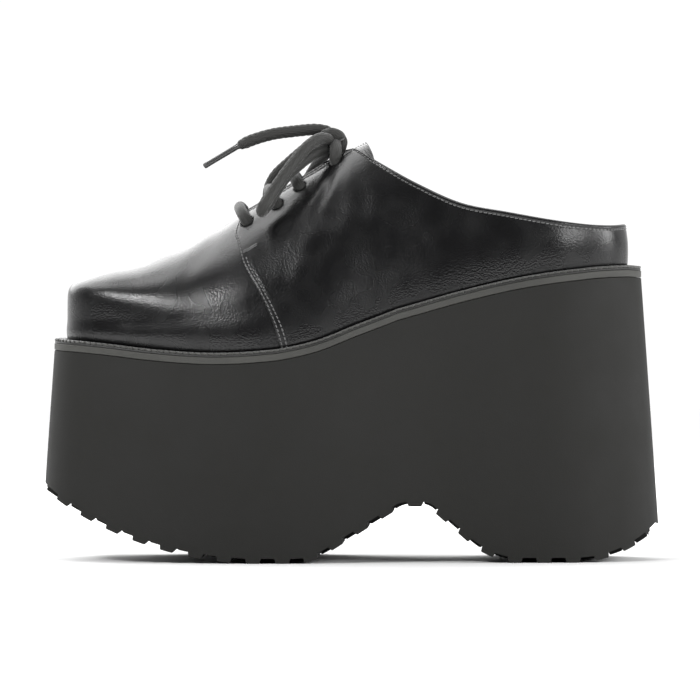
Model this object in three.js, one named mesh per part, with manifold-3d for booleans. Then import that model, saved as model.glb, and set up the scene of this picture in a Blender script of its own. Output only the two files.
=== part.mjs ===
// Platform mule, left shoe, in millimetres. +Z is up, the toe points along -X, the lateral side is -Y.
import * as THREE from 'three';
import { mergeVertices } from 'three/addons/utils/BufferGeometryUtils.js';
import Module from 'manifold-3d';

const wasm = await Module();
wasm.setup();

// Last: the outline where the upper meets the sole, and the ridge line over it
const UPPER_LENGTH = 251;
const BALL_WIDTH = 95;
const INSTEP_HEIGHT = 83.4;
const TOE_BULGE = 1.4;
const BACK_SHIFT = 1.3;

// Platform
const HEEL_HEIGHT = 125.9;
const FOREFOOT_HEIGHT = 87.8;
const LEDGE = 5.8;
const DRAFT = THREE.MathUtils.degToRad(4);
const LUG_DEPTH = 2.2;
const LUG_WIDTH = 5.6;
const LUG_PITCH = 13;
const LUG_BEVEL = 0.7;
const TREAD_GROOVE = 4;
const TREAD_CENTRE_WIDTH = 26;
const ROCKER_RADIUS = 165;
const HEEL_EDGE_RADIUS = 54;
const ARCH_HEIGHT = 25;
const ARCH_ROOF = 11;
const ARCH_ROUND = 3;
const FOREFOOT_END_ROUND = 8;
const HEEL_FRONT_ROUND = 14;
const ARCH_FRONT_SLOPE = THREE.MathUtils.degToRad(32);
const ARCH_BACK_SLOPE = THREE.MathUtils.degToRad(41);

// Layers between platform and upper, and the clearance that all pieces keep
const MIDSOLE = 2.9;
const WELT = 2;
const INSOLE = 3;
const CLEAR = 0.3;

// Upper leather
const WALL = 1.7;
const OVERLAY = 1.1;
const THROAT_FRONT_WIDTH = 13;
const THROAT_BACK_WIDTH = 18;
const EYELET_BORE = 4.4;
const TONGUE_WIDTH = 46;
const TONGUE_THICKNESS = 2;
const TONGUE_UNDERLAP = 14;
const TONGUE_PROUD = 9;

// Laces
const LACE = 5.4;
const AGLET = 2.6;
const AGLET_LENGTH = 18;
const KNOT_SIZE = new THREE.Vector3(12, 15, 11.5);

// Fineness of the faceted solids
const STATIONS_A_ROW = 2.5;
const STATION_STEP = 0.02;
const RISES = 8;
const LACE_SIDES = 8;
const LAYER_STRIPS = 4;
const SLIVER = 0.02;
const LINE_STEPS = { seam: 24, topline: 36 };
const LACE_STEPS = { bar: 14, loop: 26, end: 14, strand: 6 };

// Shares: height over which the wall swells, tongue's width at its front, places of a lace over the instep
const SWELL_HEIGHT = 0.7;
const TONGUE_TAPER = 0.8;
const BAR_PLACES = [0, 0.3, 0.6, 0.85];

// Sections of the last from toe to heel. along is a share of UPPER_LENGTH from the toe, across of
// BALL_WIDTH from the centre line (+ is medial), high of INSTEP_HEIGHT. crest is the share of a
// section's height that its side wall reaches, square the squareness of its shoulder, bulge of TOE_BULGE.
const LAST = [
  { lateral: [0, 0.03], medial: [0, 0.03], ridge: [0.064, 0.384], crest: 0.82, square: 7, bulge: 0.4 },
  { lateral: [0.005, -0.147], medial: [0.005, 0.21], ridge: [0.066, 0.386], crest: 0.81, square: 7, bulge: 0.4 },
  { lateral: [0.028, -0.263], medial: [0.028, 0.321], ridge: [0.076, 0.4], crest: 0.8, square: 6.8, bulge: 0.45 },
  { lateral: [0.068, -0.332], medial: [0.068, 0.372], ridge: [0.1, 0.43], crest: 0.77, square: 6.2, bulge: 0.55 },
  { lateral: [0.131, -0.389], medial: [0.131, 0.414], ridge: [0.147, 0.48], crest: 0.72, square: 5.2, bulge: 0.8 },
  { lateral: [0.219, -0.453], medial: [0.207, 0.462], ridge: [0.223, 0.594], crest: 0.65, square: 3.6, bulge: 1.1 },
  { lateral: [0.339, -0.5], medial: [0.303, 0.497], ridge: [0.327, 0.773], crest: 0.7, square: 2.5, bulge: 1.4 },
  { lateral: [0.446, -0.474], medial: [0.406, 0.468], ridge: [0.43, 0.921], crest: 0.78, square: 2.25, bulge: 1.2 },
  { lateral: [0.558, -0.405], medial: [0.518, 0.384], ridge: [0.534, 1], crest: 0.84, square: 2.2, bulge: 1 },
  { lateral: [0.669, -0.353], medial: [0.637, 0.326], ridge: [0.637, 0.96], crest: 0.86, square: 2.2, bulge: 0.7 },
  { lateral: [0.781, -0.337], medial: [0.757, 0.316], ridge: [0.741, 0.9], crest: 0.88, square: 2.3, bulge: 0.5 },
  { lateral: [0.884, -0.31], medial: [0.876, 0.31], ridge: [0.821, 0.84], crest: 0.9, square: 2.3, bulge: 0.5 },
  { lateral: [0.956, -0.216], medial: [0.956, 0.226], ridge: [0.853, 0.81], crest: 0.9, square: 2.3, bulge: 0.5 },
  { lateral: [0.991, -0.095], medial: [0.991, 0.11], ridge: [0.865, 0.81], crest: 0.9, square: 2.3, bulge: 0.5 },
  { lateral: [1, 0.01], medial: [1, 0.01], ridge: [0.869, 0.81], crest: 0.9, square: 2.3, bulge: 0.5 },
];

// Top of the platform: along from its toe edge to its heel edge, rise from FOREFOOT_HEIGHT to HEEL_HEIGHT
const PLATFORM_TOP = [
  { along: 0, rise: 0.15 },
  { along: 0.075, rise: 0.115 },
  { along: 0.178, rise: 0.038 },
  { along: 0.281, rise: 0 },
  { along: 0.383, rise: 0.042 },
  { along: 0.452, rise: 0.146 },
  { along: 0.52, rise: 0.329 },
  { along: 0.589, rise: 0.512 },
  { along: 0.691, rise: 0.71 },
  { along: 0.794, rise: 0.875 },
  { along: 0.897, rise: 0.976 },
  { along: 0.97, rise: 1.012 },
  { along: 1, rise: 1 },
];

// Edge of the collar from the top of the throat to the heel, over the feather line as in LAST
const TOPLINE = [
  { along: 0.495, high: 0.985 },
  { along: 0.515, high: 0.966 },
  { along: 0.552, high: 0.857 },
  { along: 0.62, high: 0.672 },
  { along: 0.7, high: 0.496 },
  { along: 0.785, high: 0.384 },
  { along: 0.86, high: 0.304 },
  { along: 0.925, high: 0.255 },
  { along: 0.97, high: 0.238 },
  { along: 1, high: 0.243 },
];

// Front seam of the quarter, from the feather line up to the throat
const SEAM = [
  { along: 0.388, high: -0.02 },
  { along: 0.376, high: 0.13 },
  { along: 0.359, high: 0.265 },
  { along: 0.341, high: 0.375 },
  { along: 0.318, high: 0.5 },
  { along: 0.307, high: 0.61 },
  { along: 0.301, high: 0.66 },
  { along: 0.304, high: 0.7 },
  { along: 0.31, high: 0.745 },
];

// Pairs of eyelets: along is where a plane square to the instep meets the ridge, rise how far up the section
const EYELETS = [
  { along: 0.315, rise: 0.71 },
  { along: 0.367, rise: 0.7 },
  { along: 0.41, rise: 0.73 },
  { along: 0.476, rise: 0.76 },
];

// Routes of the free laces, points chosen by hand, from the middle of the knot
const KNOT = new THREE.Vector3(-7.5, 0.5, 186.2);
const NEAR_LOOP = [
  [-8, -2, 186.7], [-12.9, -8, 188.2], [-18.3, -14.5, 185], [-23.8, -20.5, 178.7], [-29.7, -27, 170.6],
  [-34.7, -32, 163], [-38, -35, 157.5], [-38.6, -30.5, 155.5], [-36.2, -27, 158.7], [-33, -25, 164],
  [-28.5, -21, 170.7], [-22.5, -15.8, 176.5], [-16.5, -9.5, 181], [-10.5, -4, 183.2],
];
const FAR_LOOP = [
  [-8, 3, 186.7], [-13.5, 8, 187.2], [-20.5, 13, 183.7], [-27.5, 16.5, 178], [-33.8, 20, 172.2], [-37, 24, 166.7],
  [-38, 29, 160.2], [-37.5, 34, 154.7], [-34.5, 37, 152.2], [-30.8, 36.5, 155.7], [-26, 33, 161.7],
  [-20.5, 28, 169.2], [-15.5, 20, 176.7], [-10.5, 9, 182.7],
];
const FREE_END = [
  [-7.5, 2, 188.2], [-10.5, 3, 191.2], [-16, 2, 192.2], [-23.8, -0.5, 191.6], [-34.2, -4, 190.2], [-42.8, -6, 187.8],
  [-50, -7.5, 184.8],
];
const AGLET_TIP = [-65, -9.5, 175.8];

// Tread line as shares of UPPER_LENGTH from the toe: where the rocker starts, the arch's roof and the heel's edge
const TREAD = { rocker: 0.35, arch: 0.601, heelEdge: 0.905 };

const TOE_X = -UPPER_LENGTH / 2 - BACK_SHIFT;
const LAST_ROW = LAST.length - 1;
const SIDES = ['lateral', 'medial'];

// Smooth value at a fractional row; read(row) may be asked for a row past either end
function smooth(at, rows, read) {
  const k = Math.min(Math.max(Math.floor(at), 0), rows - 2);
  const f = at - k;
  const [a, b, c, d] = [read(k - 1), read(k), read(k + 1), read(k + 2)];
  return b + 0.5 * f * (c - a + f * (2 * a - 5 * b + 4 * c - d + f * (3 * (b - c) + d - a)));
}

// Rows past the toe or the heel are those of the other side
function lastValue(side, at, column, item) {
  return smooth(at, LAST.length, (row) => {
    const beyond = row < 0 || row > LAST_ROW;
    const inside = row < 0 ? -row : row > LAST_ROW ? 2 * LAST_ROW - row : row;
    const name = column ?? SIDES[beyond ? 1 - side : side];
    const value = LAST[inside][name];
    return item === undefined ? value : value[item];
  });
}

const alongX = (along) => TOE_X + along * UPPER_LENGTH;

function tableHeight(table, along, column) {
  const last = table.length - 1;
  const next = table.findIndex((row) => row.along > along);
  const k = next === 0 ? 0 : next < 0 ? last - 1 : next - 1;
  const f = THREE.MathUtils.clamp((along - table[k].along) / (table[k + 1].along - table[k].along), 0, 1);
  return smooth(k + f, table.length, (row) => table[THREE.MathUtils.clamp(row, 0, last)][column]);
}

const platformAlong = (x) => (x - TOE_X + LEDGE) / (UPPER_LENGTH + 2 * LEDGE);
const platformTop = (x) =>
  FOREFOOT_HEIGHT + (HEEL_HEIGHT - FOREFOOT_HEIGHT) * tableHeight(PLATFORM_TOP, platformAlong(x), 'rise');
const midsoleTop = (x) => platformTop(x) + CLEAR + MIDSOLE;
const feather = (x) => midsoleTop(x) + CLEAR;

// Point of the outline at a station of one side, moved outward in plan
function outline(side, at, outward) {
  const folded = at < 0 ? -at : at > LAST_ROW ? 2 * LAST_ROW - at : at;
  const facing = folded === at ? side : 1 - side;
  const place = (s, a) => new THREE.Vector2(
    alongX(lastValue(s, a, undefined, 0)),
    lastValue(s, a, undefined, 1) * BALL_WIDTH,
  );
  const point = place(facing, folded);
  if (outward === undefined) return point;
  const before = outline(side, at - STATION_STEP);
  const after = outline(side, at + STATION_STEP);
  const tangent = after.sub(before).normalize();
  const hand = side === 0 ? 1 : -1;
  return point.add(new THREE.Vector2(tangent.y, -tangent.x).multiplyScalar(hand * outward));
}

// Point of the last's skin: rise goes from 0 at the feather line to 1 at the ridge
function skin(side, at, rise, outward) {
  const foot = outline(side, at, outward);
  const ridgeX = alongX(lastValue(side, at, 'ridge', 0));
  const ridgeY = BALL_WIDTH * LAST[0].lateral[1] * (1 - at / LAST_ROW);
  const ridgeZ = feather(ridgeX) + lastValue(side, at, 'ridge', 1) * INSTEP_HEIGHT + outward;
  const power = 2 / lastValue(side, at, 'square');
  const crest = lastValue(side, at, 'crest');
  const turn = (Math.PI / 2) * rise * rise * (3 - 2 * rise);
  const flank = Math.cos(turn) ** power;
  const up = crest * Math.sin(turn) ** power + (1 - crest) * (1 - flank * flank);
  const swell = TOE_BULGE * lastValue(side, at, 'bulge') * Math.sin(Math.PI * Math.min(1, up / SWELL_HEIGHT)) ** 2;
  const bulged = outline(side, at, outward + swell);
  const base = feather(foot.x);
  return new THREE.Vector3(
    THREE.MathUtils.lerp(ridgeX, bulged.x, flank),
    THREE.MathUtils.lerp(ridgeY, bulged.y, flank),
    THREE.MathUtils.lerp(base, ridgeZ, up),
  );
}

// Closed solid through rings of equal length; each end ring folds onto itself or is capped by closing
function loft(rings) {
  const size = rings[0].length;
  const positions = rings.flatMap((ring) => ring.flatMap((p) => [p.x, p.y, p.z]));
  const faces = [];
  for (let j = 0; j + 1 < rings.length; j += 1) {
    for (let c = 0; c < size; c += 1) {
      const [a, b] = [j * size + c, j * size + ((c + 1) % size)];
      faces.push(b, a, a + size, b, a + size, b + size);
    }
  }
  const geometry = new THREE.BufferGeometry();
  geometry.setAttribute('position', new THREE.Float32BufferAttribute(positions, 3));
  geometry.setIndex(faces);
  return solid(geometry);
}

function solid(geometry) {
  geometry.deleteAttribute('normal');
  geometry.deleteAttribute('uv');
  const merged = mergeVertices(geometry, 1e-4);
  const triangles = [];
  for (let i = 0; i < merged.index.count; i += 3) {
    const [a, b, c] = [0, 1, 2].map((n) => merged.index.getX(i + n));
    if (a !== b && b !== c && c !== a) triangles.push(a, b, c);
  }
  return new wasm.Manifold(new wasm.Mesh({
    numProp: 3,
    vertProperties: Float32Array.from(merged.attributes.position.array),
    triVerts: Uint32Array.from(triangles),
  }));
}

const stations = Array.from({ length: LAST_ROW * STATIONS_A_ROW + 1 }, (_, n) => n / STATIONS_A_ROW);

// The last's form as a solid, grown outward from its skin and carried down below the feather line
function lastSolid(outward, drop) {
  return loft(stations.map((at) => {
    const rises = Array.from({ length: RISES + 1 }, (_, n) => n / RISES);
    const lateral = rises.map((rise) => skin(0, at, rise, outward));
    const medial = rises.slice(0, -1).reverse().map((rise) => skin(1, at, rise, outward));
    const ring = [...lateral, ...medial];
    if (drop > 0) {
      const lowered = (p) => new THREE.Vector3(p.x, p.y, p.z - drop);
      ring.unshift(lowered(ring[0]));
      ring.push(lowered(ring[ring.length - 1]));
    }
    return ring;
  }));
}

// A layer on the last's outline between two faces, each with its outward offset and height over x
function layer(low, high) {
  const across = (at, face) => {
    const [lateral, medial] = [0, 1].map((side) => outline(side, at, face.outward(outline(side, at).x)));
    return Array.from({ length: LAYER_STRIPS + 1 }, (_, n) => {
      const p = lateral.clone().lerp(medial, n / LAYER_STRIPS);
      return new THREE.Vector3(p.x, p.y, face.height(p.x));
    });
  };
  return loft(stations.map((at) => [...across(at, low).reverse(), ...across(at, high)]));
}

// Prism across the shoe with a side outline in X and Z
function sidePrism(points, width = 4 * BALL_WIDTH, y = 0) {
  const geometry = new THREE.ExtrudeGeometry(new THREE.Shape(points), { depth: width, bevelEnabled: false });
  geometry.rotateX(Math.PI / 2).translate(0, y + width / 2, 0);
  return solid(geometry);
}

function planPrism(points, low, high) {
  const geometry = new THREE.ExtrudeGeometry(new THREE.Shape(points), { depth: high - low, bevelEnabled: false });
  return solid(geometry.translate(0, 0, low));
}

function tube(points, diameter, steps, sides = LACE_SIDES) {
  const ring = Array.from({ length: sides }, (_, n) => {
    const angle = (2 * Math.PI * n) / sides;
    return new THREE.Vector2(Math.cos(angle), Math.sin(angle)).multiplyScalar(diameter / 2);
  });
  const extrudePath = new THREE.CatmullRomCurve3(points);
  return solid(new THREE.ExtrudeGeometry(new THREE.Shape(ring), { steps, extrudePath, bevelEnabled: false }));
}

const group = new THREE.Group();

function addPart(name, body, color, roughness) {
  const mesh = body.simplify(SLIVER).getMesh();
  const geometry = new THREE.BufferGeometry();
  geometry.setAttribute('position', new THREE.Float32BufferAttribute(mesh.vertProperties, 3));
  geometry.setIndex(new THREE.Uint32BufferAttribute(mesh.triVerts, 1));
  geometry.computeVertexNormals();
  const part = new THREE.Mesh(geometry, new THREE.MeshStandardMaterial({ color, roughness, metalness: 0 }));
  part.name = name;
  group.add(part);
}

// Tread line in side view: rocker, forefoot flat, arch, heel flat and rounded heel edge
function treadPath() {
  const rocker = alongX(TREAD.rocker);
  const heelEdge = alongX(TREAD.heelEdge);
  const pastToe = TOE_X - 2 * LEDGE - FOREFOOT_HEIGHT * Math.tan(DRAFT);
  const roof = new THREE.Vector2(alongX(TREAD.arch), ARCH_HEIGHT);
  const roofEnd = new THREE.Vector2(roof.x + ARCH_ROOF, ARCH_HEIGHT);
  const corners = [
    { at: new THREE.Vector2(rocker, 0) },
    { at: new THREE.Vector2(roof.x - ARCH_HEIGHT / Math.tan(ARCH_FRONT_SLOPE), 0), round: FOREFOOT_END_ROUND },
    { at: roof, round: ARCH_ROUND },
    { at: roofEnd, round: ARCH_ROUND },
    { at: new THREE.Vector2(roofEnd.x + ARCH_HEIGHT / Math.tan(ARCH_BACK_SLOPE), 0), round: HEEL_FRONT_ROUND },
    { at: new THREE.Vector2(heelEdge, 0) },
  ];
  const path = new THREE.Path();
  const sweep = Math.asin((rocker - pastToe) / ROCKER_RADIUS);
  path.absarc(rocker, ROCKER_RADIUS, ROCKER_RADIUS, -Math.PI / 2 - sweep, -Math.PI / 2, false);
  corners.slice(1, -1).forEach(({ at, round }, n) => {
    const before = corners[n].at.clone().sub(at).setLength(round).add(at);
    const after = corners[n + 2].at.clone().sub(at).setLength(round).add(at);
    path.lineTo(before.x, before.y);
    path.quadraticCurveTo(at.x, at.y, after.x, after.y);
  });
  path.lineTo(heelEdge, 0);
  path.absarc(heelEdge, HEEL_EDGE_RADIUS, HEEL_EDGE_RADIUS, -Math.PI / 2, -Math.PI / 16, false);
  return path;
}

// Side outline of the platform's underside; shift moves the lugs along the tread, null leaves them off
function treadProfile(shift) {
  const path = treadPath();
  const length = path.getLength();
  const spot = (run, depth) => {
    const share = THREE.MathUtils.clamp(run / length, 0, 1);
    const tangent = path.getTangentAt(share);
    return path.getPointAt(share).add(new THREE.Vector2(-tangent.y, tangent.x).multiplyScalar(depth));
  };
  let roof = 0;
  while (spot(roof, 0).x < alongX(TREAD.arch) + ARCH_ROOF / 2) roof += LUG_BEVEL;
  const half = LUG_WIDTH / 2;
  const flank = half + LUG_BEVEL;
  const valley = (LUG_PITCH - LUG_WIDTH) / 2 + half;
  const marks = [[-flank, LUG_DEPTH], [-half, 0], [0, 0], [half, 0], [flank, LUG_DEPTH], [valley, LUG_DEPTH]];
  const points = [spot(0, LUG_DEPTH)];
  const first = (roof % LUG_PITCH) - LUG_PITCH + (shift ?? 0);
  for (let centre = first; centre < length + LUG_PITCH; centre += LUG_PITCH) {
    for (const [offset, depth] of marks) {
      const run = centre + offset;
      if (run > LUG_BEVEL && run < length - LUG_BEVEL) points.push(spot(run, shift === null ? LUG_DEPTH : depth));
    }
  }
  points.push(spot(length, LUG_DEPTH));
  const top = 2 * HEEL_HEIGHT;
  return [...points, new THREE.Vector2(points.at(-1).x, top), new THREE.Vector2(points[0].x, top)];
}

function platform() {
  const drafted = (x) => LEDGE + platformTop(x) * Math.tan(DRAFT);
  const block = layer({ outward: drafted, height: () => 0 }, { outward: () => LEDGE, height: platformTop });
  const strip = 2 * BALL_WIDTH;
  const beside = TREAD_CENTRE_WIDTH / 2 + TREAD_GROOVE + strip / 2;
  const foot = sidePrism(treadProfile(null))
    .add(sidePrism(treadProfile(LUG_PITCH / 2), TREAD_CENTRE_WIDTH, 0))
    .add(sidePrism(treadProfile(0), strip, -beside))
    .add(sidePrism(treadProfile(0), strip, beside));
  return block.intersect(foot);
}

const FLAT_LEDGE = () => LEDGE;
const SEAM_FOOT_X = alongX(SEAM[0].along);

function midsole() {
  return layer(
    { outward: FLAT_LEDGE, height: (x) => platformTop(x) + CLEAR },
    { outward: FLAT_LEDGE, height: midsoleTop },
  );
}

function welt() {
  const lower = (x) => midsoleTop(x) + CLEAR;
  const ring = layer({ outward: FLAT_LEDGE, height: lower }, { outward: FLAT_LEDGE, height: (x) => lower(x) + WELT });
  const step = (x) => THREE.MathUtils.smoothstep(x, SEAM_FOOT_X - 4 * LEDGE, SEAM_FOOT_X - 2 * LEDGE);
  const beside = (x) => 1.5 * CLEAR + OVERLAY * step(x);
  const opening = layer(
    { outward: beside, height: (x) => lower(x) - WELT },
    { outward: beside, height: (x) => lower(x) + 2 * WELT },
  );
  return ring.subtract(opening);
}

function insole() {
  const inside = () => -WALL - 1.5 * CLEAR;
  return layer({ outward: inside, height: feather }, { outward: inside, height: (x) => feather(x) + INSOLE });
}

// Side view points of a table, through which a smooth line is drawn
function sideLine(table, steps) {
  const points = table.map(({ along, high }) =>
    new THREE.Vector2(alongX(along), feather(alongX(along)) + high * INSTEP_HEIGHT));
  return new THREE.SplineCurve(points).getPoints(steps);
}

const SKY = 3 * HEEL_HEIGHT;

function quarterCut() {
  const seam = sideLine(SEAM, LINE_STEPS.seam);
  return sidePrism([
    ...seam,
    new THREE.Vector2(seam.at(-1).x, SKY),
    new THREE.Vector2(UPPER_LENGTH, SKY),
    new THREE.Vector2(UPPER_LENGTH, 0),
    new THREE.Vector2(seam[0].x, 0),
  ]);
}

function collarCut() {
  const edge = sideLine(TOPLINE, LINE_STEPS.topline);
  return sidePrism([
    ...edge,
    new THREE.Vector2(UPPER_LENGTH, edge.at(-1).y),
    new THREE.Vector2(UPPER_LENGTH, SKY),
    new THREE.Vector2(edge[0].x, SKY),
  ]);
}

// Gap between the facings, from its round front end to past the top corner of the quarters
function throatCut() {
  const centre = KNOT.y;
  const radius = THROAT_FRONT_WIDTH / 2;
  const front = alongX(SEAM.at(-1).along) + radius - OVERLAY;
  const back = alongX(TOPLINE[0].along) + THROAT_BACK_WIDTH;
  const shape = new THREE.Path();
  shape.absarc(front, centre, radius, Math.PI / 2, 1.5 * Math.PI, false);
  shape.lineTo(back, centre - THROAT_BACK_WIDTH / 2);
  shape.lineTo(back, centre + THROAT_BACK_WIDTH / 2);
  return planPrism(shape.getPoints(5), HEEL_HEIGHT, SKY);
}

// Direction of the instep in side view, and the point of the skin in a plane square to it
const instepStart = skin(0, 6, 1, 0);
const instepEnd = skin(0, 8, 1, 0);
const INSTEP = instepEnd.clone().sub(instepStart).setY(0).normalize();

function acrossInstep(along, side, rise, outward) {
  const far = (alongX(along) - instepStart.x) / (instepEnd.x - instepStart.x);
  const middle = instepStart.clone().lerp(instepEnd, far);
  let [low, high] = [4, 10];
  for (let n = 0; n < 24; n += 1) {
    const at = (low + high) / 2;
    if (skin(side, at, rise, outward).sub(middle).dot(INSTEP) < 0) low = at;
    else high = at;
  }
  return skin(side, (low + high) / 2, rise, outward);
}

function eyelet({ along, rise }, side) {
  const inner = acrossInstep(along, side, rise, -2 * LACE);
  const outer = acrossInstep(along, side, rise, 2 * LACE);
  const here = acrossInstep(along, side, rise, 0);
  const direction = outer.clone().sub(inner).normalize();
  const bore = new THREE.CylinderGeometry(EYELET_BORE / 2, EYELET_BORE / 2, 2 * LACE, 10);
  bore.applyQuaternion(new THREE.Quaternion().setFromUnitVectors(new THREE.Vector3(0, 1, 0), direction));
  return solid(bore.translate(here.x, here.y, here.z));
}

function upper() {
  const around = () => 4 * LEDGE;
  const aboveFeather = layer({ outward: around, height: feather }, { outward: around, height: () => SKY });
  const quarters = lastSolid(OVERLAY, 2 * WALL).intersect(quarterCut());
  let shell = lastSolid(0, 2 * WALL).add(quarters).subtract(lastSolid(-WALL, 4 * WALL));
  shell = shell.intersect(aboveFeather).subtract(collarCut()).subtract(throatCut());
  for (const pair of EYELETS) {
    for (const side of [0, 1]) shell = shell.subtract(eyelet(pair, side));
  }
  return shell;
}

// The tongue lies under the facings and the back of the vamp, with a rounded tip above the collar
function tongue() {
  const outer = -WALL - 1.5 * CLEAR;
  const half = TONGUE_WIDTH / 2;
  const front = alongX(SEAM.at(-1).along) - TONGUE_UNDERLAP;
  const tip = alongX(TOPLINE[0].along) + TONGUE_PROUD;
  const shape = new THREE.Shape();
  shape.moveTo(front, -half * TONGUE_TAPER);
  shape.lineTo(tip - half, -half);
  shape.quadraticCurveTo(tip, -half, tip, 0);
  shape.quadraticCurveTo(tip, half, tip - half, half);
  shape.lineTo(front, half * TONGUE_TAPER);
  const slab = planPrism(shape.getPoints(6), HEEL_HEIGHT, SKY);
  return lastSolid(outer, 0).subtract(lastSolid(outer - TONGUE_THICKNESS, 2 * WALL)).intersect(slab);
}

function laceBar({ along, rise }) {
  const outward = OVERLAY + LACE / 2 + 1.5 * CLEAR;
  const rises = BAR_PLACES.map((share) => THREE.MathUtils.lerp(rise, 1, share));
  const lateral = rises.map((r) => acrossInstep(along, 0, r, outward));
  const medial = rises.map((r) => acrossInstep(along, 1, r, outward)).reverse();
  return tube([...lateral, acrossInstep(along, 0, 1, outward), ...medial], LACE, LACE_STEPS.bar);
}

const vectors = (points) => points.map((p) => new THREE.Vector3(...p));

function ellipsoid(centre, size) {
  const geometry = new THREE.SphereGeometry(0.5, 14, 10).scale(size.x, size.y, size.z);
  return solid(geometry.translate(centre.x, centre.y, centre.z));
}

// The knot is joined with the two strands that come up from the top eyelets
function knot(grown) {
  const outward = OVERLAY + LACE / 2 + 1.5 * CLEAR;
  let body = ellipsoid(KNOT, KNOT_SIZE.clone().addScalar(2 * grown));
  for (const side of [0, 1]) {
    const { along, rise } = EYELETS.at(-1);
    const from = acrossInstep(along, side, rise, outward);
    const middle = from.clone().lerp(KNOT, 0.5).add(new THREE.Vector3(0, Math.sign(from.y) * LACE / 3, 0));
    body = body.add(tube([from, middle, KNOT], LACE + 2 * grown, LACE_STEPS.strand));
  }
  return body;
}

const freeLace = (points, steps) => tube(vectors(points), LACE, steps).subtract(knot(1.5 * CLEAR));

function aglet() {
  const tip = new THREE.Vector3(...AGLET_TIP);
  const end = new THREE.Vector3(...FREE_END.at(-1));
  const direction = tip.sub(end).normalize();
  const start = end.clone().addScaledVector(direction, CLEAR);
  return tube([start, start.clone().addScaledVector(direction, AGLET_LENGTH)], AGLET, 1);
}

const EVA = 0x35342f;
const PALE_EVA = 0x45443f;
const RUBBER = 0x2a2a28;
const LEATHER = 0x0b0b0c;
const SOCK = 0x1c1b1a;
const CORD = 0x2c2c29;
const PLASTIC = 0x232322;
addPart('platform', platform(), EVA, 0.75);
addPart('midsole', midsole(), PALE_EVA, 0.7);
addPart('welt', welt(), RUBBER, 0.6);
addPart('insole', insole(), SOCK, 0.6);
addPart('upper', upper(), LEATHER, 0.25);
addPart('tongue', tongue(), LEATHER, 0.3);
EYELETS.slice(0, -1).forEach((pair, n) => addPart(`lace_bar_${n + 1}`, laceBar(pair), CORD, 0.8));
addPart('lace_knot', knot(0), CORD, 0.8);
addPart('lace_loop_near', freeLace(NEAR_LOOP, LACE_STEPS.loop), CORD, 0.8);
addPart('lace_loop_far', freeLace(FAR_LOOP, LACE_STEPS.loop), CORD, 0.8);
addPart('lace_end', freeLace(FREE_END, LACE_STEPS.end), CORD, 0.8);
addPart('lace_aglet', aglet(), PLASTIC, 0.35);

export default group;
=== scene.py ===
# Platform mule, left shoe: the looks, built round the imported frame. Working lengths are millimetres,
# turned to metres when a mesh is made. +Z is up, the toe points along -X, the lateral side is -Y.
import math

import bmesh
import bpy
import numpy as np
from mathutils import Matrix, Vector


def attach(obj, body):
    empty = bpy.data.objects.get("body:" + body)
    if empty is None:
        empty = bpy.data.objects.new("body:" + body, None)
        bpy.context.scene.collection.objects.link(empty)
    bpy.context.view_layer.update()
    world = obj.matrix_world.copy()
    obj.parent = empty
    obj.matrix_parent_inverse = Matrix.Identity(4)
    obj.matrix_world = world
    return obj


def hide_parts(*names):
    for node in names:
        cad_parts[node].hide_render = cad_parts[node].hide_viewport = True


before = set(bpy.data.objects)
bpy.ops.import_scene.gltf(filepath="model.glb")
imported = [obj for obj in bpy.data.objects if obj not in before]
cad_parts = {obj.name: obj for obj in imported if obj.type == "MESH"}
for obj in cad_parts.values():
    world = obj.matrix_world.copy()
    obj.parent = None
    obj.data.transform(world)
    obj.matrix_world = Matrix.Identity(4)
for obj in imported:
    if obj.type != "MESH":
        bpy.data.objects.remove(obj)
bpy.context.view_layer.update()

MM = 0.001

# Driving sizes, as in the part's source, where TOE_BULGE is 1.4, TONGUE_PROUD is 9 and HEEL_TUCK and
# TONGUE_CUT aren't used
UPPER_LENGTH, BALL_WIDTH, INSTEP_HEIGHT = 251, 95, 83.4
TOE_BULGE, BACK_SHIFT, HEEL_TUCK = 0.9, 1.3, 1.7
HEEL_HEIGHT, FOREFOOT_HEIGHT, LEDGE = 125.9, 87.8, 5.8
DRAFT = math.radians(4)
LUG_DEPTH, LUG_WIDTH, LUG_PITCH, LUG_BEVEL = 2.2, 5.6, 13, 0.7
TREAD_GROOVE, TREAD_CENTRE_WIDTH = 4, 26
ROCKER_RADIUS, HEEL_EDGE_RADIUS = 165, 54
ARCH_HEIGHT, ARCH_ROOF, ARCH_ROUND = 25, 11, 3
FOREFOOT_END_ROUND, HEEL_FRONT_ROUND = 8, 14
ARCH_FRONT_SLOPE, ARCH_BACK_SLOPE = math.radians(32), math.radians(41)
MIDSOLE, WELT, INSOLE, CLEAR = 2.9, 2, 3, 0.3
WALL, OVERLAY = 1.7, 1.1
THROAT_FRONT_WIDTH, THROAT_BACK_WIDTH = 13, 18
TONGUE_WIDTH, TONGUE_THICKNESS = 46, 2
TONGUE_UNDERLAP, TONGUE_PROUD, TONGUE_CUT = 14, 10, 0.57
LACE, AGLET, AGLET_LENGTH = 5.4, 2.6, 18
TOE_X = -UPPER_LENGTH / 2 - BACK_SHIFT
SIDES = LATERAL, MEDIAL = 0, 1
HAND = (1, -1)

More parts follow.
